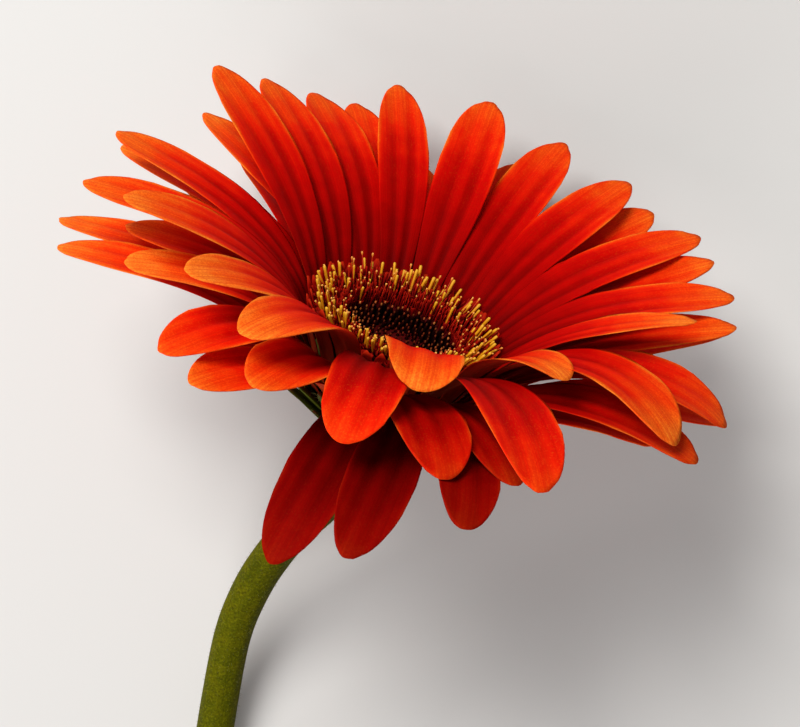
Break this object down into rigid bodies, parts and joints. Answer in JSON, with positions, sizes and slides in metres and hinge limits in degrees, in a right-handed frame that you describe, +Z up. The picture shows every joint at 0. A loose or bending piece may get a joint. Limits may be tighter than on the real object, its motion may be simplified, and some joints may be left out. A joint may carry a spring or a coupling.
{
  "type": "cut gerbera",
  "caption": "Cut gerbera lying on its side: an orange-red semi-double daisy head with a dark eye and golden anthers, on a bare, gently bent green stem cut square at the end.",
  "frame": {"origin": "centre of the bottom of the whole flower's bounding box, on the surface it lies on", "axes": "+Z up from the surface it lies on; +Y along the flower from the cut end of the stem towards the head; +X to the right seen from above with the head at the far end"},
  "size_m": [0.1132, 0.3352, 0.097],
  "materials": {
    "petal": "satin",
    "strap": "satin",
    "anther": "matte",
    "eye": "matte",
    "receptacle": "matte",
    "bract": "matte",
    "stem": "matte"
  },
  "bodies": {
    "root": {"bracts_lower": "bract", "bracts_upper": "bract", "closed_disc_florets": "eye", "open_disc_florets": "anther", "ray_inner_01": "petal", "ray_inner_02": "petal", "ray_inner_03": "petal", "ray_inner_04": "petal", "ray_inner_05": "petal", "ray_inner_06": "petal", "ray_inner_07": "petal", "ray_inner_08": "petal", "ray_inner_09": "petal", "ray_inner_10": "petal", "ray_inner_11": "petal", "ray_inner_12": "petal", "ray_inner_13": "petal", "ray_inner_14": "petal", "ray_inner_15": "petal", "ray_inner_16": "petal", "ray_inner_17": "petal", "ray_inner_18": "petal", "ray_inner_19": "petal", "ray_inner_20": "petal", "ray_middle_01": "petal", "ray_middle_02": "petal", "ray_middle_03": "petal", "ray_middle_04": "petal", "ray_middle_05": "petal", "ray_middle_06": "petal", "ray_middle_07": "petal", "ray_middle_08": "petal", "ray_middle_09": "petal", "ray_middle_10": "petal", "ray_middle_11": "petal", "ray_middle_12": "petal", "ray_middle_13": "petal", "ray_middle_14": "petal", "ray_middle_15": "petal", "ray_outer_01": "petal", "ray_outer_02": "petal", "ray_outer_03": "petal", "ray_outer_04": "petal", "ray_outer_05": "petal", "ray_outer_06": "petal", "ray_outer_07": "petal", "ray_outer_08": "petal", "ray_outer_09": "petal", "ray_outer_10": "petal", "ray_outer_11": "petal", "ray_outer_12": "petal", "ray_outer_13": "petal", "ray_outer_14": "petal", "ray_outer_15": "petal", "ray_outer_16": "petal", "ray_outer_17": "petal", "receptacle": "receptacle", "stem": "stem", "strap_florets": "strap"}
  },
  "joints": []
}
